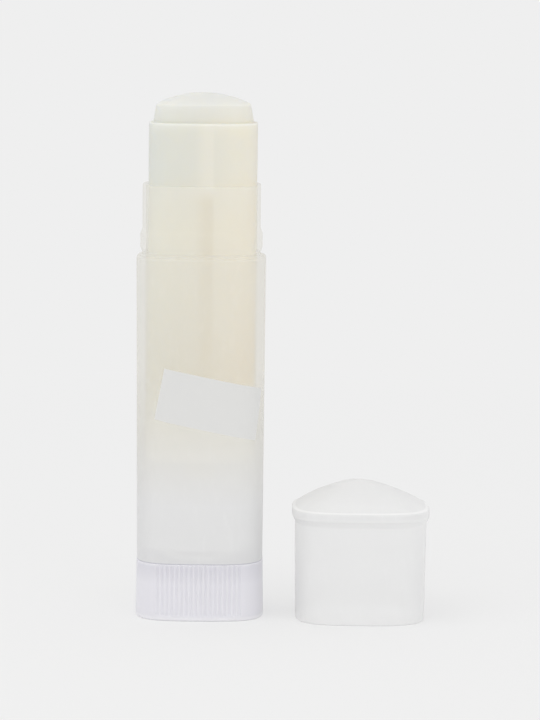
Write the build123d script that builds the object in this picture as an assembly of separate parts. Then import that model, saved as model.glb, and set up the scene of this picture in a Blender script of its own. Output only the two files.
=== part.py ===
from build123d import *
import os

# Glue stick of bowed rectangular section, with the glue raised and the cap standing beside it.
# Millimetres, +Z up the stick, front towards -Y, origin under the stick's middle on the plane it stands on.

overrun = 1.0  # how far a cutting shape runs past the face it opens

# Section shared by all the pieces: four bowed sides and rounded corners
body_width = 24.6
body_depth = 18.8
face_bow_share = 0.069  # bow of the broad sides, of the depth
side_bow_share = 0.026  # bow of the narrow sides, of the width
corner_share = 0.33  # corner radius, of the depth

# Barrel
barrel_length = 58.3
barrel_draft = 0.5  # the foot is this much narrower than the shoulder
barrel_floor = 2.2
shoulder_ledge = 1.1
shoulder_round = 0.5
neck_height = 13.5
neck_wall = 0.65
neck_lip_round = 0.2
bead_reach = 0.4
bead_foot = 0.6  # above the shoulder
bead_height = 4.6
bead_slope = 1.1  # height of each sloping side of the bead

# Base knob
knob_height = 10.75
knob_proud = 0.1  # wider than the barrel's foot at the seam
knob_draft = 0.4
knob_wall = 1.5
knob_floor = 1.2
knob_foot_round = 0.5
foot_recess = 0.5  # dish in the underside, inside the foot rim
foot_rim = 2.2
rib_pitch = 0.915
groove_count = 18
groove_radius = 0.3
groove_foot = 1.0  # height of the plain band under the ribs
hub_radius = 3.2
hub_drop = 0.5  # the hub ends this far under the knob's top edge
web_thickness = 0.8
web_height = 4.0
collar_radius = 6.9
collar_wall = 0.9
collar_reach = 0.8  # the collar stands this far above the seam
seam_gap = 0.15
seat_clearance = 0.05  # round the collar
seat_depth = 1.0

# Screw spindle
thread_radius = 1.45
journal_radius = 2.2
journal_clearance = 0.05
flange_radius = 4.2
flange_thickness = 1.0
flange_gap = 0.1
tail_side = 3.0
tail_clearance = 0.03
socket_floor = 2.7  # the knob's hub is solid for this height under the tail
tip_gap = 0.3  # between the screw's tip and the end of the glue's bore when the glue is right down
tip_length = 1.2
tip_radius = 0.7

# Carrier
carrier_clearance = 0.2
carrier_floor = 1.2
cup_height = 5.0
cup_wall = 0.8
skirt_length = 2.5
nut_radius = 3.0
nut_length = 6.5
nut_clearance = 0.05
nut_stop_gap = 0.2  # nut above the flange when the glue is right down

# Glue
glue_raised = 11.8  # rise of the glue from its lowest place
glue_clearance = 0.275
glue_bore_clearance = 0.15
glue_step_drop = 0.1  # the step lies this far under the neck's rim when the glue is right down
glue_step_ledge = 0.775
glue_step_round = 0.2
bore_roof = 0.6  # solid glue between the blind bore and the step
crown_flare = 0.58
crown_wall_height = 3.4
crown_rise = 2.2
crown_width_shares = (1.0, 0.88, 0.69, 0.44, 0.18)
crown_rise_shares = (0.0, 0.24, 0.54, 0.82, 1.0)

# Cap, standing on its mouth
cap_gap = 5.4  # between the cap's bead and the barrel
cap_forward = 2.4
cap_clearance = 0.275  # round the neck
cap_wall = 0.9
cap_draft = 0.4
cap_mouth_round = 0.3
cap_head = 5.1  # from the inner lid's brim up to the underside of the bead
cap_bead_reach = 0.55
cap_bead_height = 2.1
cap_bead_round = 0.8
snap_groove_clearance = 0.1
roof_set_in = 0.275  # the roof starts this far inside the bead
roof_sink = 0.3  # and this far under the bead's top
roof_rise = 5.4
roof_lean = -0.6  # the peak stands a little to the left
roof_width_shares = (1.0, 0.87, 0.6, 0.3, 0.09)
roof_rise_shares = (0.0, 0.245, 0.575, 0.865, 1.0)

# Inner lid of the cap
lid_wall = 0.8
lid_clearance = 0.1
brim_thickness = 0.7
brim_clearance = 0.05
brim_lip_gap = 0.1  # over the neck's rim with the cap on
brim_seat = 0.35  # the cap's wall thickens by this above the brim

# Widths that follow
section_difference = body_width - body_depth
barrel_foot_width = body_width - barrel_draft
neck_width = body_width - 2 * shoulder_ledge
bead_width = neck_width + 2 * bead_reach
bore_width = neck_width - 2 * neck_wall
knob_top_width = barrel_foot_width + knob_proud
knob_foot_width = knob_top_width + knob_draft
carrier_width = bore_width - 2 * carrier_clearance
cup_width = carrier_width - 2 * cup_wall
glue_width = bore_width - 2 * glue_clearance
crown_foot_width = glue_width - 2 * glue_step_ledge
crown_rim_width = crown_foot_width - 2 * crown_flare
cap_inside_width = neck_width + 2 * cap_clearance
cap_mouth_width = cap_inside_width + 2 * cap_wall
cap_neck_width = cap_mouth_width + cap_draft
cap_bead_width = cap_neck_width + 2 * cap_bead_reach
roof_width = cap_bead_width - 2 * roof_set_in

# Levels that follow
seam_level = knob_height + seam_gap
shoulder_level = seam_level + barrel_length
rim_level = shoulder_level + neck_height
floor_top = seam_level + barrel_floor
flange_foot = floor_top + flange_gap
flange_top = flange_foot + flange_thickness
tail_foot = foot_recess + knob_floor + socket_floor
nut_foot = flange_top + nut_stop_gap + glue_raised
carrier_level = nut_foot + nut_length
glue_foot = carrier_level + carrier_floor
cup_rim = glue_foot + cup_height
glue_step_level = rim_level - glue_step_drop + glue_raised
glue_bore_end = glue_step_level - bore_roof
tip_level = glue_bore_end - glue_raised - tip_gap
brim_level = neck_height + brim_lip_gap
brim_top = brim_level + brim_thickness
cap_bead_foot = brim_top + cap_head
roof_level = cap_bead_foot + cap_bead_height - roof_sink
cap_place = (body_width / 2 + cap_gap + cap_bead_width / 2, -cap_forward)

upwards = (Align.CENTER, Align.CENTER, Align.MIN)


def outline(width, depth):
    """A face of four bowed sides with rounded corners."""
    half_width = width / 2
    half_depth = depth / 2
    corner_x = half_width - side_bow_share * width
    corner_y = half_depth - face_bow_share * depth
    sides = [
        ThreePointArc((-corner_x, -corner_y), (0, -half_depth), (corner_x, -corner_y)),
        ThreePointArc((corner_x, -corner_y), (half_width, 0), (corner_x, corner_y)),
        ThreePointArc((corner_x, corner_y), (0, half_depth), (-corner_x, corner_y)),
        ThreePointArc((-corner_x, corner_y), (-half_width, 0), (-corner_x, -corner_y)),
    ]
    face = make_face(sides)
    return fillet(face.vertices(), corner_share * depth)


def section(width, level):
    """The stick's section, set in or out evenly all round to a width."""
    return Pos(0, 0, level) * outline(width, width - section_difference)


def prism(width, level, height):
    return extrude(section(width, level), amount=height)


def tapered(low_width, low, high_width, high):
    return loft([section(low_width, low), section(high_width, high)], ruled=True)


def post(radius, level, height):
    return Pos(0, 0, level) * Cylinder(radius, height, align=upwards)


def bar(length, breadth, level, height):
    return Pos(0, 0, level) * Box(length, breadth, height, align=upwards)


def dome(width, level, rise, width_shares, rise_shares, lean=0):
    """A smooth roof that keeps the section's proportions as it closes in."""
    depth = width - section_difference
    faces = [
        Pos(lean * high, 0, level + rise * high) * outline(width * wide, depth * wide)
        for wide, high in zip(width_shares, rise_shares)
    ]
    return loft(faces)


def snap_bead(inner_width, outer_width, level):
    """A ring with sloping sides: the neck's bead, or the groove in the cap that takes it."""
    low = level + bead_foot
    high = low + bead_height
    ring = tapered(inner_width, low, outer_width, low + bead_slope)
    ring += prism(outer_width, low + bead_slope, bead_height - 2 * bead_slope)
    return ring + tapered(outer_width, high - bead_slope, inner_width, high)


def crown(level, growth=0):
    """The glue's flared, domed top, or the same shape grown all round for the lid over it."""
    rim_width = crown_rim_width + 2 * growth
    rim = level + crown_wall_height
    flare = tapered(crown_foot_width + 2 * growth, level, rim_width, rim)
    return flare + dome(rim_width, rim, crown_rise + growth, crown_width_shares, crown_rise_shares)


def barrel():
    body = tapered(barrel_foot_width, seam_level, body_width, shoulder_level)
    body = fillet(body.edges().group_by(Axis.Z)[-1], shoulder_round)
    neck = prism(neck_width, shoulder_level - overrun, neck_height + overrun)
    body += fillet(neck.edges().group_by(Axis.Z)[-1], neck_lip_round)
    body += snap_bead(neck_width, bead_width, shoulder_level)
    body -= prism(bore_width, floor_top, rim_level)
    body -= post(collar_radius + seat_clearance, seam_level - overrun, seat_depth + overrun)
    return body - post(journal_radius + journal_clearance, seam_level, barrel_floor + overrun)


def rib_grooves(body):
    """Half-round grooves down both broad faces of the knob, following their slope."""
    grooves = []
    for index in range(groove_count):
        x = (index - (groove_count - 1) / 2) * rib_pitch
        ends = [
            body.find_intersection_points(Axis((x, -body_depth, level), (0, 1, 0)))[0][0]
            for level in (groove_foot, knob_height - groove_radius)
        ]
        run = ends[1] - ends[0]
        groove = Plane(ends[0], z_dir=run) * Cylinder(groove_radius, run.length + overrun, align=upwards)
        grooves += [groove, mirror(groove, Plane.XZ)]
    return grooves


def base_knob():
    body = tapered(knob_foot_width, 0, knob_top_width, knob_height)
    body = fillet(body.edges().group_by(Axis.Z)[0], knob_foot_round)
    body -= rib_grooves(body)
    body -= prism(knob_foot_width - 2 * foot_rim, -overrun, foot_recess + overrun)
    inside = foot_recess + knob_floor
    body -= prism(knob_top_width - 2 * knob_wall, inside, knob_height)

    collar_height = seam_level + collar_reach - inside
    collar = post(collar_radius, inside, collar_height)
    collar -= post(collar_radius - collar_wall, inside, collar_height + overrun)
    hub = post(hub_radius, inside, knob_height - hub_drop - inside)
    web_length = 2 * collar_radius - collar_wall
    webs = bar(web_length, web_thickness, inside, web_height)
    webs += bar(web_thickness, web_length, inside, web_height)
    body += collar + hub + webs
    socket_side = tail_side + 2 * tail_clearance
    return body - bar(socket_side, socket_side, tail_foot, knob_height)


def screw_spindle():
    body = bar(tail_side, tail_side, tail_foot, flange_foot - tail_foot)
    body += post(journal_radius, seam_level, flange_foot - seam_level)
    body += post(flange_radius, flange_foot, flange_thickness)
    shank_top = tip_level - tip_length
    body += post(thread_radius, flange_top, shank_top - flange_top)
    return body + Pos(0, 0, shank_top) * Cone(thread_radius, tip_radius, tip_length, align=upwards)


def glue_carrier():
    skirt_foot = carrier_level - skirt_length
    body = prism(carrier_width, skirt_foot, cup_rim - skirt_foot)
    body -= prism(cup_width, glue_foot, cup_height + overrun)
    body -= prism(cup_width, skirt_foot - overrun, skirt_length + overrun)
    body += post(nut_radius, nut_foot, nut_length)
    body += bar(cup_width + cup_wall, web_thickness, skirt_foot, skirt_length)
    body += bar(web_thickness, cup_width + cup_wall - section_difference, skirt_foot, skirt_length)
    return body - post(thread_radius + nut_clearance, nut_foot - overrun, glue_foot - nut_foot + 2 * overrun)


def glue_block():
    body = prism(glue_width, cup_rim, glue_step_level - cup_rim)
    body = fillet(body.edges().group_by(Axis.Z)[-1], glue_step_round)
    body += prism(cup_width, glue_foot, cup_height)
    body += crown(glue_step_level)
    bore_height = glue_bore_end - glue_foot
    return body - post(thread_radius + glue_bore_clearance, glue_foot - overrun, bore_height + overrun)


def cap():
    body = tapered(cap_mouth_width, 0, cap_neck_width, cap_bead_foot + cap_bead_round)
    body = fillet(body.edges().group_by(Axis.Z)[0], cap_mouth_round)
    bead = prism(cap_bead_width, cap_bead_foot, cap_bead_height)
    rims = bead.edges().group_by(Axis.Z)
    body += fillet(rims[0] + rims[-1], cap_bead_round)
    body += dome(roof_width, roof_level, roof_rise, roof_width_shares, roof_rise_shares, roof_lean)

    inner_roof = roof_level - cap_wall
    upper_width = cap_inside_width - 2 * brim_seat
    body -= prism(cap_inside_width, -overrun, brim_top + overrun)
    body -= prism(upper_width, brim_top - overrun, inner_roof - brim_top + overrun)
    body -= dome(upper_width, inner_roof, roof_rise, roof_width_shares, roof_rise_shares, roof_lean)
    body -= snap_bead(cap_inside_width, bead_width + 2 * snap_groove_clearance, 0)
    return Pos(*cap_place) * body


def cap_seal():
    body = prism(cap_inside_width - 2 * brim_clearance, brim_level, brim_thickness)
    body += crown(brim_level, lid_clearance + lid_wall)
    return Pos(*cap_place) * (body - crown(brim_level, lid_clearance))


os.makedirs("parts", exist_ok=True)
for piece in (barrel, base_knob, screw_spindle, glue_carrier, glue_block, cap, cap_seal):
    export_step(piece(), f"parts/{piece.__name__}.step")
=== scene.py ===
from bisect import bisect_left
import math

import bmesh
import bpy
from mathutils import Matrix, Vector


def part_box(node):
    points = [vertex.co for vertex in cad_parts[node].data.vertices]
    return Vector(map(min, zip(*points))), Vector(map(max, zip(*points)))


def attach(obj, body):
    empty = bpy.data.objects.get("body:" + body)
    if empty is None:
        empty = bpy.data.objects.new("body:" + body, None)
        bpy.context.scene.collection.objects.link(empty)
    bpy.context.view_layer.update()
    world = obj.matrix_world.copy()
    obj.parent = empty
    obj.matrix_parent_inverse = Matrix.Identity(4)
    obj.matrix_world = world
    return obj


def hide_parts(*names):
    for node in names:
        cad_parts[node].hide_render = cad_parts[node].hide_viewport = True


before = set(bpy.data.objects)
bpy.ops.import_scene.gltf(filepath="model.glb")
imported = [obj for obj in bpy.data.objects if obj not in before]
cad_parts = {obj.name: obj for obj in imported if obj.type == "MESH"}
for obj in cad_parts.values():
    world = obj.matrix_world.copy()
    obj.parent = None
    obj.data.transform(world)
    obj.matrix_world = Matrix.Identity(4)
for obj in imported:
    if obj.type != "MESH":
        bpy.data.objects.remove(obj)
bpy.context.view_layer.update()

mm = 0.001
print("frame loaded")


def boxOf(node):
    # lowest and highest corner of a CAD node, in millimetres
    low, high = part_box(node)
    return low / mm, high / mm


barrelLow, barrelHigh = boxOf("barrel")
knobHigh = boxOf("base_knob")[1]
screwLow = boxOf("screw_spindle")[0]
carrierLow, carrierHigh = boxOf("glue_carrier")
glueLow, glueHigh = boxOf("glue_block")
capLow, capHigh = boxOf("cap")
lidLow = boxOf("cap_seal")[0]

# The bowed rectangular section that all the moulded pieces share
sectionShape = {
    "power": 3.27,      # nearest to the CAD section, 2 gives an ellipse and more is squarer
    "slim": barrelHigh.x - barrelHigh.y,   # half width less half depth
    "spinSteps": 160,
    "cornerSteps": 5,
    "sharpAngle": math.radians(32),
    "quarterSamples": 6000,
    "smallest": 1e-4,   # a radius or slim under this, in millimetres, counts as none
    "turnSlack": 1e-9,  # keeps an angle on a quarter's edge in the quarter that it starts
}
# How close points have to be to become one, in metres
weld = {"merge": 1e-7, "collapse": 1e-8, "thread": 1e-6}


# A profile point is (half width, level, slim, corner radius), all in millimetres
def moulded(halfWidth, level, corner=0.0):
    return (halfWidth, level, sectionShape["slim"], corner)


def turned(radius, level, corner=0.0):
    return (radius, level, 0.0, corner)


def domed(halfWidth, level, roofHalfWidth):
    # keeps the proportions of the section at the roof's edge
    return (halfWidth, level, sectionShape["slim"] * halfWidth / roofHalfWidth, 0.0)


def roundCorner(before, corner, after):
    tip = Vector(corner[:2])
    toBefore = (Vector(before[:2]) - tip).normalized()
    toAfter = (Vector(after[:2]) - tip).normalized()
    half = toBefore.angle(toAfter) / 2
    centre = tip + (toBefore + toAfter).normalized() * corner[3] / math.sin(half)
    start = tip + toBefore * corner[3] / math.tan(half) - centre
    end = tip + toAfter * corner[3] / math.tan(half) - centre
    steps = sectionShape["cornerSteps"]
    arc = [centre + start.slerp(end, step / steps).normalized() * corner[3] for step in range(steps + 1)]
    return [(point.x, point.y, corner[2]) for point in arc]


def roundProfile(points, closed):
    result = []
    count = len(points)
    for index, point in enumerate(points):
        inside = closed or 0 < index < count - 1
        if point[3] > 0 and inside:
            result += roundCorner(points[index - 1], point, points[(index + 1) % count])
        else:
            result.append(point[:3])
    return result


def onSection(angle, halfWidth, slim):
    power = 2 / sectionShape["power"]
    wide = math.copysign(abs(math.cos(angle)) ** power, math.cos(angle))
    deep = math.copysign(abs(math.sin(angle)) ** power, math.sin(angle))
    return halfWidth * wide, (halfWidth - slim) * deep


def measureQuarter():
    # running length from the middle of a narrow side to the middle of a broad one
    lengths = [0.0]
    samples = sectionShape["quarterSamples"]
    before = onSection(0, barrelHigh.x, sectionShape["slim"])
    for index in range(1, samples + 1):
        point = onSection(math.pi / 2 * index / samples, barrelHigh.x, sectionShape["slim"])
        lengths.append(lengths[-1] + math.dist(before, point))
        before = point
    return lengths


quarterLengths = measureQuarter()


def angleAtLength(length):
    index = min(max(bisect_left(quarterLengths, length), 1), len(quarterLengths) - 1)
    low, high = quarterLengths[index - 1], quarterLengths[index]
    return math.pi / 2 * (index - 1 + (length - low) / (high - low)) / sectionShape["quarterSamples"]


def inQuarter(angle, turn):
    # folds an angle into the first quarter, turns it there and unfolds it again
    quarter = math.floor(angle / (math.pi / 2) + sectionShape["turnSlack"])
    part = angle - quarter * math.pi / 2
    if quarter % 2:
        return (quarter + 1) * math.pi / 2 - turn(math.pi / 2 - part)
    return quarter * math.pi / 2 + turn(part)


def evenTurn(angle, halfWidth):
    # spreads the spin's steps evenly along the section, the same way at every width
    return inQuarter(angle, lambda part: angleAtLength(quarterLengths[-1] * max(part, 0) / (math.pi / 2)))


def squeeze(vert, slimLayer, turn, carve):
    # moves a vertex of the round body onto the bowed rectangular section
    radius = math.hypot(vert.co.x, vert.co.y) / mm
    slim = vert[slimLayer]
    if min(radius, slim) < sectionShape["smallest"]:
        return
    angle = turn(math.atan2(vert.co.y, vert.co.x), radius)
    x, y = onSection(angle, radius, slim)
    if carve:
        y -= math.copysign(carve(x, vert.co.z / mm, radius), y)
    vert.co.x = x * mm
    vert.co.y = y * mm


def finishMesh(bm, name):
    bmesh.ops.remove_doubles(bm, verts=bm.verts[:], dist=weld["merge"])
    bmesh.ops.dissolve_degenerate(bm, edges=bm.edges[:], dist=weld["collapse"])
    bmesh.ops.recalc_face_normals(bm, faces=bm.faces[:])
    for face in bm.faces:
        face.smooth = True
    mesh = bpy.data.meshes.new(name)
    bm.to_mesh(mesh)
    bm.free()
    mesh.set_sharp_from_angle(angle=sectionShape["sharpAngle"])
    piece = bpy.data.objects.new(name, mesh)
    bpy.context.scene.collection.objects.link(piece)
    return piece


def spinBody(points, closed, steps=None, turn=evenTurn, carve=None, centre=(0.0, 0.0), lean=None):
    bm = bmesh.new()
    slimLayer = bm.verts.layers.float.new("slim")
    verts = []
    for halfWidth, level, slim in roundProfile(points, closed):
        vert = bm.verts.new((halfWidth * mm, 0, level * mm))
        vert[slimLayer] = slim
        verts.append(vert)
    for first, second in zip(verts, verts[1:]):
        bm.edges.new((first, second))
    if closed:
        bm.edges.new((verts[-1], verts[0]))
    bmesh.ops.spin(
        bm, geom=bm.verts[:] + bm.edges[:], cent=(0, 0, 0), axis=(0, 0, 1),
        angle=math.tau, steps=steps or sectionShape["spinSteps"], use_merge=True,
    )
    for vert in bm.verts:
        shift = lean(math.hypot(vert.co.x, vert.co.y) / mm, vert.co.z / mm) if lean else 0
        squeeze(vert, slimLayer, turn, carve)
        vert.co.x += shift * mm
    bmesh.ops.translate(bm, vec=(centre[0] * mm, centre[1] * mm, 0), verts=bm.verts[:])
    return bm


def addBox(bm, size, middle):
    place = Matrix.Translation(Vector(middle) * mm) @ Matrix.Diagonal((*(Vector(size) * mm), 1))
    bmesh.ops.create_cube(bm, size=1, matrix=place)


def mergeInto(bm, other):
    extra = bpy.data.meshes.new("extra")
    other.to_mesh(extra)
    other.free()
    bm.from_mesh(extra)
    bpy.data.meshes.remove(extra)


def settle(piece, body, slot, material, *nodes):
    piece.data.materials.clear()
    piece.data.materials.append(material)
    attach(piece, body)
    if nodes:
        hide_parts(*nodes)
    return piece


# Materials
def srgb(red, green, blue):
    # a colour written as it shows, 0 to 255, turned into the linear value that shaders take
    linear = []
    for value in (red, green, blue):
        share = value / 255
        linear.append(share / 12.92 if share <= 0.04045 else ((share + 0.055) / 1.055) ** 2.4)
    return (*linear, 1)


def startMaterial(name):
    material = bpy.data.materials.new(name)
    material.use_nodes = True
    tree = material.node_tree
    shader = tree.nodes["Principled BSDF"]
    coords = tree.nodes.new("ShaderNodeTexCoord").outputs["Object"]
    return material, tree, shader, coords


def addNoise(tree, coords, size, detail=2.0, stretch=(1, 1, 1)):
    # size is the rough width of a blotch in millimetres, stretch draws it out along an axis
    mapping = tree.nodes.new("ShaderNodeMapping")
    mapping.inputs["Scale"].default_value = [1 / value for value in stretch]
    noise = tree.nodes.new("ShaderNodeTexNoise")
    noise.inputs["Scale"].default_value = 1 / (size * mm)
    noise.inputs["Detail"].default_value = detail
    tree.links.new(coords, mapping.inputs["Vector"])
    tree.links.new(mapping.outputs["Vector"], noise.inputs["Vector"])
    return noise.outputs["Fac"]


def addRange(tree, value, low, high, fromLow=0.3, fromHigh=0.7):
    spread = tree.nodes.new("ShaderNodeMapRange")
    spread.inputs["From Min"].default_value = fromLow
    spread.inputs["From Max"].default_value = fromHigh
    spread.inputs["To Min"].default_value = low
    spread.inputs["To Max"].default_value = high
    tree.links.new(value, spread.inputs["Value"])
    return spread.outputs["Result"]


def addFade(tree, value, start, end, low=0, high=1):
    # runs from low to high between two places given in millimetres
    return addRange(tree, value, low, high, start * mm, end * mm)


def addColourMix(tree, value, first, second):
    mix = tree.nodes.new("ShaderNodeMix")
    mix.data_type = "RGBA"
    for name, colour in (("A", first), ("B", second)):
        if isinstance(colour, tuple):
            mix.inputs[name].default_value = colour
        else:
            tree.links.new(colour, mix.inputs[name])
    tree.links.new(value, mix.inputs["Factor"])
    return mix.outputs["Result"]


def addMath(tree, operation, first, second):
    node = tree.nodes.new("ShaderNodeMath")
    node.operation = operation
    for index, value in enumerate((first, second)):
        if isinstance(value, (int, float)):
            node.inputs[index].default_value = value
        else:
            tree.links.new(value, node.inputs[index])
    return node.outputs[0]


def addAxis(tree, coords, axis):
    split = tree.nodes.new("ShaderNodeSeparateXYZ")
    tree.links.new(coords, split.inputs[0])
    return split.outputs[axis]


def addBump(tree, heights, distance, before=None):
    bump = tree.nodes.new("ShaderNodeBump")
    bump.inputs["Strength"].default_value = 1
    bump.inputs["Distance"].default_value = distance * mm
    tree.links.new(heights, bump.inputs["Height"])
    if before:
        tree.links.new(before, bump.inputs["Normal"])
    return bump.outputs["Normal"]


# Noises are (size in millimetres, detail, stretch), heights of bumps are in millimetres
frost = {
    "clouds": (14, 3), "gloss": (3, 3), "waves": (5, 1, (1, 1, 5)), "waveHigh": 0.02,
    "grain": (0.12,), "grainHigh": 0.004, "scuffs": (1.2, 5, (1, 1, 3)), "scuffRange": (0.55, 0.75),
    "scuffColour": srgb(252, 252, 252), "scuffDull": 0.3, "neckFade": 0.3, "rimFull": 0.6, "ior": 1.49,
}


def frostedPlastic(name, colours, rough, milky, scuff):
    # milky see-through polypropylene, with flow clouds, a fine grain and paler rubbed patches
    material, tree, shader, coords = startMaterial(name)
    cloud = addNoise(tree, coords, *frost["clouds"])
    colour = addColourMix(tree, cloud, *colours)
    if "toColour" in milky:
        # colour and milkiness change along the piece, between the levels from and to
        along = addFade(tree, addAxis(tree, coords, "Z"), milky["from"], milky["to"])
        colour = addColourMix(tree, along, colour, milky["toColour"])
        alpha = addRange(tree, along, milky["wall"], milky["thick"], 0, 1)
        if "neck" in milky:
            # the thinner neck is clearer, as (level, milkiness, colour)
            level, clear, neckColour = milky["neck"]
            thin = addFade(tree, addAxis(tree, coords, "Z"), level - frost["neckFade"], level)
            colour = addColourMix(tree, thin, colour, neckColour)
            alpha = addMath(tree, "ADD", alpha, addMath(tree, "MULTIPLY", thin, clear - milky["wall"]))
        tree.links.new(alpha, shader.inputs["Alpha"])
    else:
        shader.inputs["Alpha"].default_value = milky["wall"]
    if "rim" in milky:
        # a painted line that runs round the piece, as (level, half height, colour): painted shade in the
        # barrel's seam over the knob, a painted highlight along the cap's roof edge
        level, half, paintedLineColour = milky["rim"]
        away = addMath(tree, "ABSOLUTE", addMath(tree, "SUBTRACT", addAxis(tree, coords, "Z"), level * mm), 0)
        edge = addFade(tree, away, half * frost["rimFull"], half, 1, 0)
        colour = addColourMix(tree, edge, colour, paintedLineColour)
    scuffs = addRange(tree, addNoise(tree, coords, *frost["scuffs"]), 0, scuff, *frost["scuffRange"])
    tree.links.new(addColourMix(tree, scuffs, colour, frost["scuffColour"]), shader.inputs["Base Color"])
    gloss = addRange(tree, addNoise(tree, coords, *frost["gloss"]), *rough)
    dull = addMath(tree, "MULTIPLY", scuffs, frost["scuffDull"])
    tree.links.new(addMath(tree, "ADD", gloss, dull), shader.inputs["Roughness"])
    waves = addBump(tree, addNoise(tree, coords, *frost["waves"]), frost["waveHigh"])
    grain = addBump(tree, addNoise(tree, coords, *frost["grain"]), frost["grainHigh"], waves)
    tree.links.new(grain, shader.inputs["Normal"])
    shader.inputs["IOR"].default_value = frost["ior"]
    return material


dense = {
    "clouds": (8, 3, (1, 1, 3)), "gloss": (2, 3), "swells": (6, 1), "swellHigh": 0.01,
    "grain": (0.15,), "grainHigh": 0.002, "ior": 1.5, "scatter": 1.5, "scatterColour": (1, 1, 1),
}


def whitePlastic(name, first, second, rough, alpha=1.0, soft=0.6, lightAndShadeZones=()):
    # dense white plastic with faint flow marks and uneven gloss
    material, tree, shader, coords = startMaterial(name)
    cloud = addNoise(tree, coords, *dense["clouds"])
    colour = addColourMix(tree, cloud, first, second)
    for start, end, paintedZoneColour in lightAndShadeZones:
        # paler or darker zones up the piece, as (level where it starts, level where it is full, colour), used
        # for painted light and painted shade
        share = addFade(tree, addAxis(tree, coords, "Z"), start, end)
        colour = addColourMix(tree, share, colour, paintedZoneColour)
    tree.links.new(colour, shader.inputs["Base Color"])
    tree.links.new(addRange(tree, addNoise(tree, coords, *dense["gloss"]), *rough), shader.inputs["Roughness"])
    swells = addBump(tree, addNoise(tree, coords, *dense["swells"]), dense["swellHigh"])
    grain = addBump(tree, addNoise(tree, coords, *dense["grain"]), dense["grainHigh"], swells)
    tree.links.new(grain, shader.inputs["Normal"])
    shader.inputs["IOR"].default_value = dense["ior"]
    shader.inputs["Subsurface Weight"].default_value = soft
    shader.inputs["Subsurface Radius"].default_value = dense["scatterColour"]
    shader.inputs["Subsurface Scale"].default_value = dense["scatter"] * mm
    shader.inputs["Alpha"].default_value = alpha
    return material


def solidGlue(look):
    # cloudy glue, cooler on its left, warmer on its right and deeper down, with painted shade over the screw
    # in its bore and painted light over the empty bore
    material, tree, shader, coords = startMaterial("cloudyGlue")
    cloud = addNoise(tree, coords, *look["clouds"])
    across, up = addAxis(tree, coords, "X"), addAxis(tree, coords, "Z")
    side = addFade(tree, across, *look["sides"])
    fresh = addFade(tree, up, *look["freshLevels"])
    deep = addFade(tree, up, *look["deepLevels"])
    left = addColourMix(tree, fresh, look["left"], look["freshLeft"])
    right = addColourMix(tree, fresh, look["right"], look["freshRight"])
    left = addColourMix(tree, deep, left, look["deepLeft"])
    right = addColourMix(tree, deep, right, look["deepRight"])
    colour = addColourMix(tree, side, left, right)
    colour = addColourMix(tree, addFade(tree, up, *look["crownLevels"]), colour, look["crown"])
    blotch = addMath(tree, "MULTIPLY", addRange(tree, cloud, 0, 1), look["cloudShare"])
    colour = addColourMix(tree, blotch, colour, look["cloud"])
    # a soft stripe over the bore: painted shade up to the screw's tip and painted light above it, where the
    # bore is empty
    leftEdge = addFade(tree, across, *look["boreLeft"])
    rightEdge = addFade(tree, across, *look["boreRight"], 1, 0)
    nearBore = addMath(tree, "MULTIPLY", leftEdge, rightEdge)
    emptied = addFade(tree, up, *look["emptied"])
    boreShadeAndLight = addColourMix(tree, emptied, look["screwShadePainted"], look["boreLightPainted"])
    stripe = addMath(tree, "MULTIPLY", nearBore, addFade(tree, up, *look["stripeEnd"], look["stripe"], 0))
    tree.links.new(addColourMix(tree, stripe, colour, boreShadeAndLight), shader.inputs["Base Color"])
    gloss = addRange(tree, addNoise(tree, coords, *look["gloss"]), *look["rough"])
    tree.links.new(gloss, shader.inputs["Roughness"])
    swells = addBump(tree, addNoise(tree, coords, *look["swells"]), look["swellHigh"])
    pits = addBump(tree, addNoise(tree, coords, *look["pits"]), look["pitHigh"], swells)
    tree.links.new(pits, shader.inputs["Normal"])
    shader.inputs["IOR"].default_value = look["ior"]
    shader.inputs["Subsurface Weight"].default_value = 1
    shader.inputs["Subsurface Radius"].default_value = look["scatterColour"]
    shader.inputs["Subsurface Scale"].default_value = look["scatter"] * mm
    shader.inputs["Transmission Weight"].default_value = look["transmission"]
    return material


glueLook = {
    "left": srgb(225, 227, 221), "right": srgb(239, 235, 222), "cloud": srgb(236, 234, 222),
    "freshLeft": srgb(227, 226, 213), "freshRight": srgb(239, 231, 212),
    "deepLeft": srgb(216, 213, 199), "deepRight": srgb(230, 217, 193), "crown": srgb(225, 226, 224),
    # painted shade over the screw and painted light over the empty bore above it
    "screwShadePainted": srgb(220, 210, 186), "boreLightPainted": srgb(242, 239, 228), "stripe": 0.5,
    # places and levels between which the colours fade, in millimetres
    "sides": (-9, 9), "freshLevels": (86, 76), "deepLevels": (70, 48), "crownLevels": (94, 99),
    "boreLeft": (-1.2, 0.8), "boreRight": (2.1, 2.6), "emptied": (80, 82), "stripeEnd": (92, 95),
    "clouds": (7, 4, (1, 1, 2.5)), "cloudShare": 0.3, "gloss": (2.5, 3), "rough": (0.38, 0.55),
    "swells": (4, 2, (1, 1, 4)), "swellHigh": 0.05, "pits": (0.5, 2), "pitHigh": 0.008,
    "ior": 1.45, "scatter": 3, "scatterColour": (1.0, 0.95, 0.8), "transmission": 0.1,
}
barrelPlastic = frostedPlastic(
    "frostedBarrel", (srgb(228, 225, 214), srgb(225, 222, 211)), (0.42, 0.5),
    {"wall": 0.33, "thick": 0.85, "from": 46, "to": 22, "toColour": srgb(224, 224, 224),
     # the rim at the foot is a dark line of painted shade in the seam over the knob
     "neck": (70, 0.24, srgb(231, 228, 217)), "rim": (barrelLow.z, 0.22, srgb(192, 191, 200))}, 0.07,
)
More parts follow.
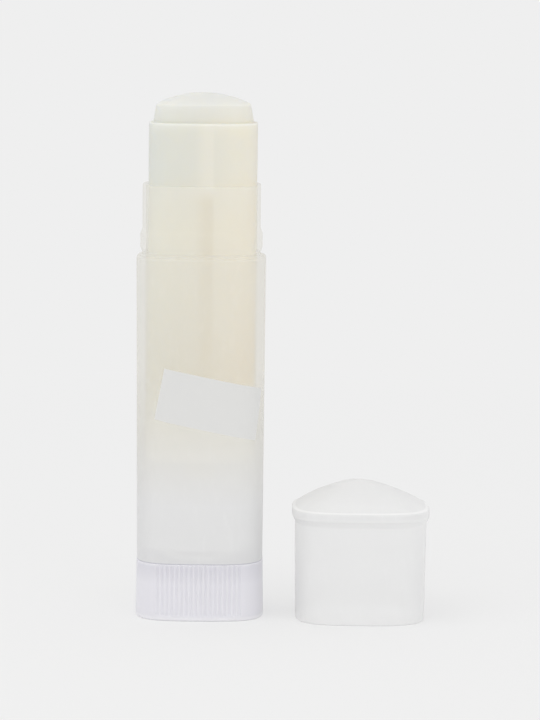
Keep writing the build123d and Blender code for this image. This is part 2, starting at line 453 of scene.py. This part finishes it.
capPlastic = frostedPlastic(
    "frostedCap", (srgb(248, 248, 248), srgb(244, 244, 244)), (0.45, 0.55),
    # the front's paler colour and the roof's and bead's darker one are painted light and painted shade, which
    # even out the overhead light
    {"wall": 0.72, "thick": 0.72, "from": 19.6, "to": 20.6, "toColour": srgb(241, 241, 241),
     # the rim here is a painted highlight along the roof's front edge
     "rim": (21.62, 0.14, srgb(252, 252, 252))}, 0.2,
)
lidPlastic = frostedPlastic(
    "frostedLid", (srgb(249, 249, 249), srgb(245, 245, 245)), (0.35, 0.45), {"wall": 0.75}, 0.2,
)
knobPlastic = whitePlastic(
    "knobWhite", srgb(228, 227, 232), srgb(225, 224, 229), (0.36, 0.46),
    # painted light at the foot against the contact shade by the floor, and painted shade towards the top under
    # the barrel's foot
    lightAndShadeZones=((0.9, 0.5, srgb(237, 236, 240)), (7.0, 10.2, srgb(216, 215, 221))),
)
screwPlastic = whitePlastic("screwWhite", srgb(232, 232, 230), srgb(226, 226, 224), (0.4, 0.5), 0.55)
carrierPlastic = whitePlastic("carrierWhite", srgb(234, 231, 216), srgb(230, 227, 211), (0.4, 0.5), 0.7)
bandInk = whitePlastic("bandWhite", srgb(221, 221, 219), srgb(218, 218, 217), (0.5, 0.6), 0.85, 0)
glueSolid = solidGlue(glueLook)
print("materials made")


barrelSizes = {
    "shoulder": 69.2, "shoulderRound": 0.5, "shoulderRoot": 0.15, "neckHalf": 11.2, "boreHalf": 10.55,
    "beadHalf": 11.6, "beadFoot": 69.8, "beadTop": 74.4, "beadSlope": 1.1, "beadRound": 0.8, "beadRoot": 0.5,
    "lipRound": 0.2, "floorTop": 13.1, "floorRoot": 0.3, "holeRadius": 2.25, "seatRadius": 6.95,
    "seatTop": 11.9, "footHalf": 12.05, "footRound": 0.06,
}


def barrelHalf(level):
    s = barrelSizes
    share = (level - barrelLow.z) / (s["shoulder"] - barrelLow.z)
    return s["footHalf"] + (barrelHigh.x - s["footHalf"]) * share


def makeBarrel():
    s = barrelSizes
    foot = barrelLow.z
    profile = [
        moulded(s["footHalf"], foot, s["footRound"]),
        moulded(barrelHalf(s["floorTop"]), s["floorTop"]),
        moulded(barrelHigh.x, s["shoulder"], s["shoulderRound"]),
        moulded(s["neckHalf"], s["shoulder"], s["shoulderRoot"]),
        moulded(s["neckHalf"], s["beadFoot"], s["beadRoot"]),
        moulded(s["beadHalf"], s["beadFoot"] + s["beadSlope"], s["beadRound"]),
        moulded(s["beadHalf"], s["beadTop"] - s["beadSlope"], s["beadRound"]),
        moulded(s["neckHalf"], s["beadTop"], s["beadRoot"]),
        moulded(s["neckHalf"], barrelHigh.z, s["lipRound"]),
        moulded(s["boreHalf"], barrelHigh.z, s["lipRound"]),
        moulded(s["boreHalf"], s["floorTop"], s["floorRoot"]),
        turned(s["holeRadius"], s["floorTop"]),
        turned(s["holeRadius"], s["seatTop"]),
        turned(s["seatRadius"], s["seatTop"]),
        turned(s["seatRadius"], foot),
    ]
    return finishMesh(spinBody(profile, True), "barrelShell")


def passLight(piece):
    # frosted plastic and thin ink spread light through themselves without darkening what is behind
    piece.visible_shadow = False
    piece.visible_diffuse = False


passLight(settle(makeBarrel(), "barrel_body", "frosted_barrel", barrelPlastic, "barrel"))
print("barrel made")


bandSizes = {
    "length": 20.3, "height": 9.93, "tilt": math.radians(11.6),
    "corner": (-6.71, 48.47),   # upper left, as (way round from the front's middle, level)
    "proud": 0.02, "thick": 0.03, "alongSteps": 90, "downSteps": 12,
}


def makeBand():
    # the plain slanted stripe printed on the front, as a film of ink that follows the barrel
    s = bandSizes
    bm = bmesh.new()
    # a flat unit sheet and a copy one unit over it, then both wrapped round the barrel
    bmesh.ops.create_grid(bm, x_segments=s["alongSteps"], y_segments=s["downSteps"], size=0.5)
    raised = bmesh.ops.extrude_face_region(bm, geom=bm.faces[:], use_keep_orig=True)["geom"]
    for vert in (item for item in raised if isinstance(item, bmesh.types.BMVert)):
        vert.co.z = 1
    for vert in bm.verts:
        along = (vert.co.x + 0.5) * s["length"]
        down = (0.5 - vert.co.y) * s["height"]
        way = s["corner"][0] + along * math.cos(s["tilt"]) - down * math.sin(s["tilt"])
        level = s["corner"][1] - along * math.sin(s["tilt"]) - down * math.cos(s["tilt"])
        halfWidth = barrelHalf(level) + s["proud"] + vert.co.z * s["thick"]
        angle = evenTurn(-math.pi / 2 * (1 - way / quarterLengths[-1]), halfWidth)
        x, y = onSection(angle, halfWidth, sectionShape["slim"])
        vert.co = Vector((x, y, level)) * mm
    return finishMesh(bm, "slantedBand")


passLight(settle(makeBand(), "barrel_body", "white_plastic", bandInk))
print("band made")


knobSizes = {
    "footHalf": 12.3, "topHalf": 12.1, "footRound": 0.3, "topRound": 0.05, "seam": 0.05, "wall": 1.5,
    "rimWidth": 2.2, "rimSlope": 0.15, "rimRound": 0.15, "dish": 0.5, "floorTop": 1.7, "ringLevels": (4.5, 8),
    "collarRadius": 6.9, "collarInner": 6.0, "hubRadius": 3.2, "hubTop": 10.25,
    "socketRadius": 2.15, "socketFloor": 4.35,
    "gateRadius": 0.5, "gateProud": 0.05, "gateDish": 1.3, "gateDeep": 0.15, "gateSlope": 0.1,
}
ribSizes = {
    "pitch": 0.915, "count": 18, "foot": 1.0, "ledge": 0.3, "halfWidth": 0.31, "depth": 0.17,
    "stepsPerRib": 10, "sideSteps": 30, "skin": 0.5, "slack": 0.001,
}


def ribTurn(angle, halfWidth):
    # sets the spin's steps on the ribs' own lines across the broad faces
    s = ribSizes
    ribSteps = s["stepsPerRib"] * s["count"] // 2
    ribHalf = s["pitch"] * s["count"] / 2

    def atWidth(x):
        return math.acos((x / halfWidth) ** (sectionShape["power"] / 2))

    def turn(part):
        step = max(part, 0) / (math.pi / 2) * (ribSteps + s["sideSteps"])
        if step >= s["sideSteps"]:
            return atWidth(max(ribSteps + s["sideSteps"] - step, 0) * s["pitch"] / s["stepsPerRib"])
        corner = atWidth(ribHalf) / (math.pi / 2) * sectionShape["quarterSamples"]
        return angleAtLength(quarterLengths[int(corner)] * step / s["sideSteps"])

    return inQuarter(angle, turn)


def ribDepth(x, level, halfWidth):
    # how deep the groove is here, with a sloping ledge at its foot, and none inside the knob
    s = ribSizes
    inside = halfWidth < knobSizes["topHalf"] - s["skin"]
    if inside or level < s["foot"] + s["slack"] or abs(x) > s["pitch"] * s["count"] / 2:
        return 0
    away = abs((x / s["pitch"]) % 1 - 0.5) * s["pitch"] / s["halfWidth"]
    ledge = min(1, (level - s["foot"]) / s["ledge"])
    return s["depth"] * ledge * math.sqrt(max(0, 1 - away ** 2))


def makeKnob():
    s = knobSizes
    r = ribSizes

    def sideHalf(level):
        return s["footHalf"] + (s["topHalf"] - s["footHalf"]) * level / knobTop

    knobTop = barrelLow.z - s["seam"]
    rimHalf = s["footHalf"] - s["rimWidth"]
    profile = [
        turned(0, s["dish"] - s["gateProud"]),
        turned(s["gateRadius"], s["dish"] - s["gateProud"]),
        turned(s["gateRadius"], s["dish"] + s["gateDeep"]),
        turned(s["gateDish"] - s["gateSlope"], s["dish"] + s["gateDeep"]),
        turned(s["gateDish"], s["dish"]),
        moulded(rimHalf - s["rimSlope"], s["dish"]),
        moulded(rimHalf, 0, s["rimRound"]),
        moulded(s["footHalf"], 0, s["footRound"]),
    ]
    for level in (r["foot"], r["foot"] + r["ledge"] / 3, r["foot"] + r["ledge"], *s["ringLevels"]):
        profile.append(moulded(sideHalf(level), level))
    profile += [
        moulded(s["topHalf"], knobTop, s["topRound"]),
        moulded(s["topHalf"] - s["wall"], knobTop, s["topRound"]),
        moulded(s["topHalf"] - s["wall"], s["floorTop"]),
        turned(s["collarRadius"], s["floorTop"]),
        turned(s["collarRadius"], knobHigh.z),
        turned(s["collarInner"], knobHigh.z),
        turned(s["collarInner"], s["floorTop"]),
        turned(s["hubRadius"], s["floorTop"]),
        turned(s["hubRadius"], s["hubTop"]),
        turned(s["socketRadius"], s["hubTop"]),
        turned(s["socketRadius"], s["socketFloor"]),
        turned(0, s["socketFloor"]),
    ]
    steps = 4 * (r["stepsPerRib"] * r["count"] // 2 + r["sideSteps"])
    return finishMesh(spinBody(profile, False, steps, ribTurn, ribDepth), "ribbedKnob")


settle(makeKnob(), "knob_body", "white_plastic", knobPlastic, "base_knob")
print("knob made")


glueSizes = {
    "rootHalf": 9.53, "rootRound": 0.2, "rootGap": 0.02, "cupRim": 38.95, "bodyHalf": 10.275, "bodyRound": 0.1,
    "bodyRing": 66, "step": 94.4, "stepRound": 0.3, "stepRoot": 0.2, "crownFoot": 9.5,
    "rimHalf": 8.92, "rimLevel": 97.8, "rimRound": 0.4,
    "boreRadius": 1.6, "boreTop": 93.8, "boreDrop": 1, "tipShare": 0.7, "tipDrop": 0.25,
    # steps of the dome, as (share of the rim's half width, share of the rise)
    "domeShares": ((0.96, 0.09), (0.88, 0.24), (0.69, 0.54), (0.44, 0.82), (0.2, 0.96)),
    "lean": 0.0042, "leanFrom": 36, "slack": 0.01,
}


def makeGlue():
    s = glueSizes
    rise = glueHigh.z - s["rimLevel"]
    foot = glueLow.z + s["rootGap"]
    profile = [
        turned(0, s["boreTop"]),
        turned(s["boreRadius"] * s["tipShare"], s["boreTop"] - s["tipDrop"]),
        turned(s["boreRadius"], s["boreTop"] - s["boreDrop"]),
        turned(s["boreRadius"], foot),
        moulded(s["rootHalf"], foot, s["rootRound"]),
        moulded(s["rootHalf"], s["cupRim"]),
        moulded(s["bodyHalf"], s["cupRim"], s["bodyRound"]),
        moulded(s["bodyHalf"], s["bodyRing"]),
        moulded(s["bodyHalf"], s["step"], s["stepRound"]),
        moulded(s["crownFoot"], s["step"], s["stepRoot"]),
        moulded(s["rimHalf"], s["rimLevel"], s["rimRound"]),
    ]
    for wide, high in s["domeShares"]:
        profile.append(domed(s["rimHalf"] * wide, s["rimLevel"] + rise * high, s["rimHalf"]))
    profile.append(turned(0, glueHigh.z))

    def lean(radius, level):
        # the glue stands a hair askew in the neck, its bore doesn't
        inBore = radius < s["boreRadius"] + s["slack"] and level < s["boreTop"] + s["slack"]
        return 0 if inBore else s["lean"] * max(0, level - s["leanFrom"])

    return finishMesh(spinBody(profile, False, lean=lean), "glueStick")


settle(makeGlue(), "carrier_body", "glue", glueSolid, "glue_block")
print("glue made")


carrierSizes = {
    "cupHalf": 9.55, "floorTop": 33.9, "floorUnder": 32.7, "nutRadius": 3.0, "holeRadius": 1.5,
    "skirtFoot": 30.2, "skirtRound": 0.1, "rimRound": 0.15, "floorRound": 0.2, "nutRound": 0.3,
    "webThick": 0.8, "webBite": 0.2, "webLift": 0.1,
}


def makeCarrier():
    s = carrierSizes
    outer = carrierHigh.x
    profile = [
        moulded(outer, s["skirtFoot"], s["skirtRound"]),
        moulded(outer, carrierHigh.z, s["rimRound"]),
        moulded(s["cupHalf"], carrierHigh.z, s["rimRound"]),
        moulded(s["cupHalf"], s["floorTop"], s["floorRound"]),
        turned(s["holeRadius"], s["floorTop"]),
        turned(s["holeRadius"], carrierLow.z),
        turned(s["nutRadius"], carrierLow.z, s["nutRound"]),
        turned(s["nutRadius"], s["floorUnder"], s["nutRound"]),
        moulded(s["cupHalf"], s["floorUnder"], s["floorRound"]),
        moulded(s["cupHalf"], s["skirtFoot"], s["skirtRound"]),
    ]
    bm = spinBody(profile, True)
    # four webs between the nut and the skirt, sunk a little into both and into the floor
    slim = sectionShape["slim"]
    middle = (s["skirtFoot"] + s["floorUnder"]) / 2 + s["webLift"]
    high = s["floorUnder"] - s["skirtFoot"]
    start = s["nutRadius"] - s["webBite"]
    for sign in (-1, 1):
        reach = s["cupHalf"] + s["webBite"] - start
        addBox(bm, (reach, s["webThick"], high), (sign * (start + reach / 2), 0, middle))
        addBox(bm, (s["webThick"], reach - slim, high), (0, sign * (start + (reach - slim) / 2), middle))
    return finishMesh(bm, "carrierCup")


settle(makeCarrier(), "carrier_body", "carrier_plastic", carrierPlastic, "glue_carrier")
print("carrier made")


screwSizes = {
    "coreRadius": 1.05, "crestRadius": 1.42, "lead": 4.0, "flangeRadius": 4.2, "flangeFoot": 13.2,
    "flangeTop": 14.2, "journalRadius": 2.2, "journalFoot": 10.9, "edgeRound": 0.15, "hubSteps": 72,
    "tailSide": 3.0, "sunk": 0.1, "threadTop": 80.5, "tipHeight": 1.2, "tipShare": 0.5,
    "stepsPerTurn": 36, "spareTurns": 2,
    # one lead of the thread, as (share of the lead, crest or core)
    "thread": ((0.0, 0), (0.3, 0), (0.45, 1), (0.7, 1), (0.85, 0), (1.0, 0)),
}


def makeScrew():
    s = screwSizes
    lead = s["lead"]
    bm = bmesh.new()
    verts = []
    # the thread starts too low and ends too high, and is cut off level at both ends
    start = s["flangeTop"] - s["spareTurns"] * lead
    for along, crest in s["thread"]:
        radius = s["crestRadius"] if crest else s["coreRadius"]
        verts.append(bm.verts.new((radius * mm, 0, (start + lead * along) * mm)))
    for first, second in zip(verts, verts[1:]):
        bm.edges.new((first, second))
    turns = math.ceil((s["threadTop"] - start) / lead) + 1
    # the angle runs backwards, which makes the thread left-handed
    bmesh.ops.spin(
        bm, geom=bm.verts[:] + bm.edges[:], cent=(0, 0, 0), axis=(0, 0, 1),
        dvec=(0, 0, lead * mm / s["stepsPerTurn"]), angle=-math.tau * turns, steps=turns * s["stepsPerTurn"],
    )
    bmesh.ops.remove_doubles(bm, verts=bm.verts[:], dist=weld["thread"])
    for level, side in ((s["threadTop"], 1), (s["flangeTop"] - s["sunk"], -1)):
        bmesh.ops.bisect_plane(
            bm, geom=bm.verts[:] + bm.edges[:] + bm.faces[:], plane_co=(0, 0, level * mm),
            plane_no=(0, 0, side), clear_outer=True,
        )
    rims = [edge for edge in bm.edges if edge.is_boundary]
    topRim = [edge for edge in rims if edge.verts[0].co.z > s["flangeTop"] * mm * 2]
    tip = bmesh.ops.extrude_edge_only(bm, edges=topRim)["geom"]
    for vert in (item for item in tip if isinstance(item, bmesh.types.BMVert)):
        vert.co.x *= s["tipShare"]
        vert.co.y *= s["tipShare"]
        vert.co.z += s["tipHeight"] * mm
    bmesh.ops.holes_fill(bm, edges=[edge for edge in bm.edges if edge.is_boundary])
    hub = spinBody([
        turned(0, s["journalFoot"]),
        turned(s["journalRadius"], s["journalFoot"], s["edgeRound"]),
        turned(s["journalRadius"], s["flangeFoot"]),
        turned(s["flangeRadius"], s["flangeFoot"], s["edgeRound"]),
        turned(s["flangeRadius"], s["flangeTop"], s["edgeRound"]),
        turned(0, s["flangeTop"]),
    ], False, s["hubSteps"])
    mergeInto(bm, hub)
    tailHigh = s["journalFoot"] - screwLow.z + s["sunk"]
    addBox(bm, (s["tailSide"], s["tailSide"], tailHigh), (0, 0, screwLow.z + tailHigh / 2))
    return finishMesh(bm, "threadedScrew")


settle(makeScrew(), "knob_body", "spindle_plastic", screwPlastic, "screw_spindle")
print("screw made")


capSizes = {
    "mouthHalf": 12.375, "neckHalf": 12.575, "beadHalf": 13.125, "beadFoot": 18.9, "beadTop": 21.5,
    "beadRound": 0.48, "beadRoot": 1.0, "beadReach": 1.1, "roofHalf": 12.85, "roofLevel": 21.2, "wall": 0.9,
    "insideHalf": 11.475, "upperHalf": 11.125, "seatLevel": 14.3, "mouthRound": 0.3,
    "lean": -0.6,       # how far the roof's peak stands to the left
    # steps of the roof, as (share of the half width, share of the rise)
    "roofShares": ((0.95, 0.11), (0.87, 0.245), (0.77, 0.38), (0.65, 0.52), (0.52, 0.66), (0.38, 0.79),
                   (0.25, 0.9), (0.12, 0.975)),
    "grooveHalf": 11.7, "grooveFoot": 0.6, "grooveTop": 5.2, "grooveSlope": 1.1,
}
capCentre = ((capLow.x + capHigh.x) / 2, (capLow.y + capHigh.y) / 2)


def makeCap():
    s = capSizes
    rise = capHigh.z - s["roofLevel"]
    outer = [
        moulded(s["mouthHalf"], 0, s["mouthRound"]),
        moulded(s["neckHalf"], s["beadFoot"], s["beadRoot"]),
        moulded(s["beadHalf"], s["beadFoot"] + s["beadReach"], s["beadRound"]),
        moulded(s["beadHalf"], s["beadTop"], s["beadRound"]),
    ]
    for wide, high in s["roofShares"]:
        outer.append(domed(s["roofHalf"] * wide, s["roofLevel"] + rise * high, s["roofHalf"]))
    outer.append(turned(0, capHigh.z))
    inner = [turned(0, capHigh.z - s["wall"])]
    for wide, high in reversed(s["roofShares"]):
        inner.append(domed(s["upperHalf"] * wide, s["roofLevel"] - s["wall"] + rise * high, s["upperHalf"]))
    inner += [
        moulded(s["upperHalf"], s["roofLevel"] - s["wall"]),
        moulded(s["upperHalf"], s["seatLevel"]),
        moulded(s["insideHalf"], s["seatLevel"]),
        moulded(s["insideHalf"], s["grooveTop"]),
        moulded(s["grooveHalf"], s["grooveTop"] - s["grooveSlope"]),
        moulded(s["grooveHalf"], s["grooveFoot"] + s["grooveSlope"]),
        moulded(s["insideHalf"], s["grooveFoot"]),
        moulded(s["insideHalf"], 0, s["mouthRound"]),
    ]

    def lean(radius, level):
        return s["lean"] * min(1, max(0, (level - s["roofLevel"]) / rise))

    return finishMesh(spinBody(outer + inner, True, centre=capCentre, lean=lean), "capShell")


settle(makeCap(), "cap_body", "frosted_cap", capPlastic, "cap")
print("cap made")


lidSizes = {
    "brimHalf": 11.425, "brimThick": 0.7, "brimRound": 0.1, "footHalf": 9.5, "footRound": 0.2,
    "rimHalf": 8.92, "rimUp": 3.4, "rimRound": 0.3, "gap": 0.1, "wall": 0.8,
}


def makeLid():
    # a brim and a crown that follows the glue's, a small gap away from it
    s = lidSizes
    g = glueSizes
    foot = lidLow.z

    def crownSide(growth):
        rim = s["rimHalf"] + growth
        rise = glueHigh.z - g["rimLevel"] + growth
        points = [moulded(s["footHalf"] + growth, foot), moulded(rim, foot + s["rimUp"], s["rimRound"])]
        for wide, high in g["domeShares"]:
            points.append(domed(rim * wide, foot + s["rimUp"] + rise * high, rim))
        points.append(turned(0, foot + s["rimUp"] + rise))
        return points

    inner = crownSide(s["gap"])
    outer = crownSide(s["gap"] + s["wall"])
    outer[0] = moulded(outer[0][0], foot + s["brimThick"], s["footRound"])
    brim = [
        moulded(s["brimHalf"], foot + s["brimThick"], s["brimRound"]),
        moulded(s["brimHalf"], foot, s["brimRound"]),
    ]
    profile = inner + list(reversed(outer)) + brim
    return finishMesh(spinBody(profile, True, centre=capCentre), "innerLid")


settle(makeLid(), "cap_body", "lid_plastic", lidPlastic, "cap_seal")
print("lid made")


# Floor, light and camera
stage = {
    "background": srgb(239, 239, 239), "floor": srgb(236, 236, 236), "flatNear": 0.62,
    "nearRadius": 90, "farRadius": 330, "floorHalf": 3000, "floorSteps": 8, "worldLight": 0.9,
}
# Each lamp as its place, the point it faces and its width, in metres, and its power
lamps = {
    "overheadLeft": ((-0.35, -0.25, 0.7), (0.01, 0, 0.05), 0.6, 1.1),
    "frontFill": ((0.5, -0.8, 0.25), (0.015, 0, 0.04), 0.8, 1.2),
}
cameraPlace = {
    "place": (0.0132, -0.56, 0.125), "tilt": math.radians(90 - 7.72), "roll": math.radians(0.53),
    "sensor": 36, "lens": 197.2, "clipStart": 0.05,
}


def addSeen(tree):
    # 1 for rays that show the background itself, 0 for rays that gather light
    path = tree.nodes.new("ShaderNodeLightPath")
    seen = path.outputs["Is Camera Ray"]
    for name in ("Is Glossy Ray", "Is Transmission Ray"):
        seen = addMath(tree, "MAXIMUM", seen, path.outputs[name])
    return seen


def makeFloor():
    # takes shadows near the stick and fades into the background's colour further away
    bm = bmesh.new()
    steps = stage["floorSteps"]
    bmesh.ops.create_grid(bm, x_segments=steps, y_segments=steps, size=stage["floorHalf"] * mm)
    floor = finishMesh(bm, "floor")
    material = bpy.data.materials.new("paleFloor")
    material.use_nodes = True
    tree = material.node_tree
    tree.nodes.clear()
    output = tree.nodes.new("ShaderNodeOutputMaterial")
    mix = tree.nodes.new("ShaderNodeMixShader")
    diffuse = tree.nodes.new("ShaderNodeBsdfDiffuse")
    glow = tree.nodes.new("ShaderNodeEmission")
    diffuse.inputs["Color"].default_value = stage["floor"]
    glow.inputs["Color"].default_value = stage["background"]
    place = tree.nodes.new("ShaderNodeTexCoord")
    away = tree.nodes.new("ShaderNodeVectorMath")
    away.operation = "LENGTH"
    tree.links.new(place.outputs["Object"], away.inputs[0])
    near, far = stage["nearRadius"] * mm, stage["farRadius"] * mm
    fade = addRange(tree, away.outputs["Value"], stage["flatNear"], 1, near, far)
    tree.links.new(addMath(tree, "MULTIPLY", fade, addSeen(tree)), mix.inputs[0])
    tree.links.new(diffuse.outputs[0], mix.inputs[1])
    tree.links.new(glow.outputs[0], mix.inputs[2])
    tree.links.new(mix.outputs[0], output.inputs["Surface"])
    floor.data.materials.append(material)


def makeWorld():
    world = bpy.data.worlds.new("softRoom")
    bpy.context.scene.world = world
    world.use_nodes = True
    tree = world.node_tree
    tree.nodes.clear()
    output = tree.nodes.new("ShaderNodeOutputWorld")
    mix = tree.nodes.new("ShaderNodeMixShader")
    light = tree.nodes.new("ShaderNodeBackground")
    light.inputs["Color"].default_value = (1, 1, 1, 1)
    light.inputs["Strength"].default_value = stage["worldLight"]
    plain = tree.nodes.new("ShaderNodeBackground")
    plain.inputs["Color"].default_value = stage["background"]
    tree.links.new(addSeen(tree), mix.inputs[0])
    tree.links.new(light.outputs[0], mix.inputs[1])
    tree.links.new(plain.outputs[0], mix.inputs[2])
    tree.links.new(mix.outputs[0], output.inputs["Surface"])


def makeLamp(name, place, target, size, power):
    lamp = bpy.data.lights.new(name, "AREA")
    lamp.shape = "DISK"
    lamp.size = size
    lamp.energy = power
    holder = bpy.data.objects.new(name, lamp)
    holder.location = place
    holder.rotation_euler = (Vector(target) - Vector(place)).to_track_quat("-Z", "Y").to_euler()
    bpy.context.scene.collection.objects.link(holder)


def makeCamera():
    # stands in front, a little above the stick's top, looking slightly down
    s = cameraPlace
    camera = bpy.data.cameras.new("camera")
    camera.sensor_fit = "HORIZONTAL"
    camera.sensor_width = s["sensor"]
    camera.lens = s["lens"]
    camera.clip_start = s["clipStart"]
    holder = bpy.data.objects.new("camera", camera)
    turn = Matrix.Rotation(s["tilt"], 4, "X") @ Matrix.Rotation(s["roll"], 4, "Z")
    holder.matrix_world = Matrix.Translation(s["place"]) @ turn
    bpy.context.scene.collection.objects.link(holder)
    bpy.context.scene.camera = holder


def allowLongPaths():
    # light has to cross many milky walls before it leaves the stick
    cycles = bpy.context.scene.cycles
    cycles.max_bounces = 32
    cycles.diffuse_bounces = 16
    cycles.transmission_bounces = 24
    cycles.transparent_max_bounces = 32


makeFloor()
makeWorld()
allowLongPaths()
for lampName, lampValues in lamps.items():
    makeLamp(lampName, *lampValues)
makeCamera()
bpy.context.scene.view_settings.view_transform = "Standard"
print("stage made")
